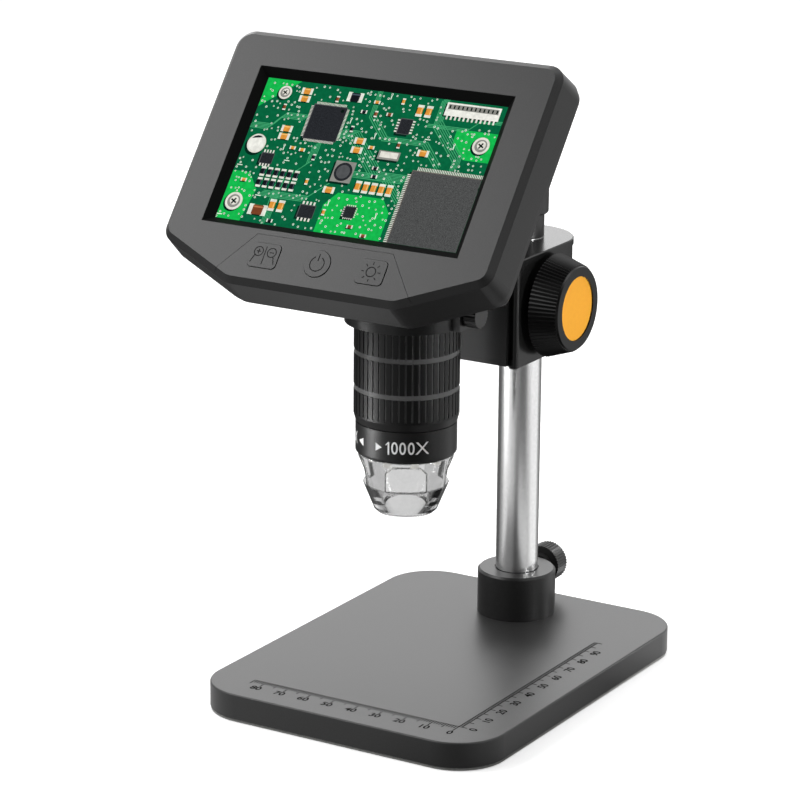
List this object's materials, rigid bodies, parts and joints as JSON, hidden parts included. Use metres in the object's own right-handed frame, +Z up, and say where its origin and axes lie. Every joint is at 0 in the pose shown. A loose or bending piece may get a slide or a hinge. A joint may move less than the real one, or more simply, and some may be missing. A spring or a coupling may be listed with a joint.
{
  "type": "digital microscope",
  "caption": "Digital microscope with a tilted colour screen over a ribbed barrel and clear cap, on a rack-and-pinion carriage that rides a steel pole in a flat base.",
  "frame": {"origin": "centre of the base's underside", "axes": "+Z up, +X to the right of a person who reads the screen, +Y away from that person"},
  "size_m": [0.132, 0.1778, 0.2405],
  "materials": {
    "pad_foam": "matt foam",
    "base_black": "fine matt",
    "black_metal": "satin black",
    "steel": "plain",
    "satin_steel": "satin",
    "black_plastic": "satin",
    "black_gloss": "glossy black",
    "brass": "machined",
    "black_rubber": "knurled matt",
    "orange_plastic": "satin",
    "case_black": "fine satin",
    "screen_black": "gloss",
    "lcd_glass": "lit picture",
    "board_green": "solder mask",
    "board_white": "solder mask",
    "chip_black": "matt",
    "battery_wrap": "foil",
    "ribbon_orange": "film",
    "grip_rubber": "ribbed matt",
    "clear_plastic": "clear",
    "led_white": "clear lens",
    "lens_glass": "coated"
  },
  "bodies": {
    "base": {"base_pad": "pad_foam", "base_plate": "base_black", "collar": "black_metal", "collar_screws": "steel"},
    "base_thumbscrew": {"base_thumbscrew": "black_metal"},
    "pole": {"pole": "satin_steel", "pole_cap": "black_plastic"},
    "carriage": {"carriage_block": "black_gloss", "carriage_cover": "black_gloss", "shaft_bushes": "brass"},
    "carriage_thumbscrew": {"carriage_thumbscrew": "black_metal"},
    "focus_knob": {"pinion_shaft": "steel", "focus_knob_right": "black_rubber", "focus_knob_left": "black_rubber", "knob_insert_right": "orange_plastic", "knob_insert_left": "orange_plastic", "knob_screws": "steel"},
    "slide": {"slide_plate": "black_gloss", "rack": "brass", "holder_arm": "black_gloss", "arm_screws": "steel"},
    "ring_clamp": {"ring_clamp": "black_metal"},
    "microscope": {"neck_housing": "case_black", "rear_cover": "case_black", "front_bezel": "case_black", "case_screws": "steel", "screen_frame": "screen_black", "lcd_panel": "lcd_glass", "button_panel": "case_black", "main_board": "board_green", "board_chips": "chip_black", "battery": "battery_wrap", "usb_jack": "steel", "card_slot": "steel", "button_board": "board_green", "key_switches": "chip_black", "screen_ribbon": "ribbon_orange", "button_ribbon": "ribbon_orange", "sensor_ribbon": "ribbon_orange", "sensor_board": "board_green", "image_sensor": "chip_black", "barrel_core": "case_black", "mark_ring": "case_black", "clear_cap": "clear_plastic", "led_board": "board_white", "leds": "led_white"},
    "focus_ring": {"focus_ring": "grip_rubber"},
    "lens_carrier": {"lens_carrier": "case_black", "drive_pins": "steel", "objective_lens": "lens_glass", "lens_retainer": "black_metal"},
    "zoom_rocker": {"zoom_rocker": "case_black"},
    "power_button": {"power_button": "case_black"},
    "light_button": {"light_button": "case_black"}
  },
  "joints": [
    {"name": "base_clamp_turn", "type": "hinge", "parent": "base", "child": "base_thumbscrew", "pos_m": [0, 0.0736, 0.0228], "axis": [0, 1, 0], "range_deg": [-180, 180]},
    {"name": "pole_swivel", "type": "hinge", "parent": "base", "child": "pole", "pos_m": [0, 0.054, 0.0133], "axis": [0, 0, 1], "range_deg": [-180, 180]},
    {"name": "carriage_height", "type": "slide", "parent": "pole", "child": "carriage", "axis": [0, 0, 1], "range_m": [-0.05, 0.008]},
    {"name": "carriage_clamp_turn", "type": "hinge", "parent": "carriage", "child": "carriage_thumbscrew", "pos_m": [0, 0.0774, 0.13555], "axis": [0, 1, 0], "range_deg": [-180, 180]},
    {"name": "focus_height", "type": "slide", "parent": "carriage", "child": "slide", "axis": [0, 0, 1], "range_m": [-0.012, 0.014]},
    {"name": "focus_knob_turn", "type": "hinge", "parent": "carriage", "child": "focus_knob", "pos_m": [0, 0.0389, 0.1368], "axis": [-1, 0, 0], "range_deg": [-155, 180]},
    {"name": "ring_clamp_turn", "type": "hinge", "parent": "slide", "child": "ring_clamp", "pos_m": [0.0252, -0.0285, 0.1488], "axis": [1, 0, 0], "range_deg": [-180, 180]},
    {"name": "microscope_swivel", "type": "hinge", "parent": "slide", "child": "microscope", "pos_m": [0, -0.0285, 0.1432], "axis": [0, 0, 1], "range_deg": [-45, 45]},
    {"name": "focus_ring_turn", "type": "hinge", "parent": "microscope", "child": "focus_ring", "pos_m": [0, -0.0285, 0.1071], "axis": [0, 0, 1], "range_deg": [-90, 90]},
    {"name": "lens_travel", "type": "slide", "parent": "microscope", "child": "lens_carrier", "axis": [0, 0, 1], "range_m": [-0.005, 0.005]},
    {"name": "zoom_tilt", "type": "hinge", "parent": "microscope", "child": "zoom_rocker", "pos_m": [-0.0212, -0.0857, 0.1743], "axis": [0, 0.6157, 0.788], "range_deg": [-3, 3], "stiffness_Nm_per_rad": 0.01},
    {"name": "power_press", "type": "slide", "parent": "microscope", "child": "power_button", "axis": [0, 0.788, -0.6157], "range_m": [0, 0.0005], "stiffness_N_per_m": 500, "springref_m": -0.0002},
    {"name": "light_press", "type": "slide", "parent": "microscope", "child": "light_button", "axis": [0, 0.788, -0.6157], "range_m": [0, 0.0005], "stiffness_N_per_m": 500, "springref_m": -0.0002}
  ],
  "couplings": [
    {"joint": "focus_knob_turn", "follows": "focus_height", "rad_per_m": 222.22},
    {"joint": "focus_ring_turn", "follows": "lens_travel", "rad_per_m": 312.5}
  ]
}
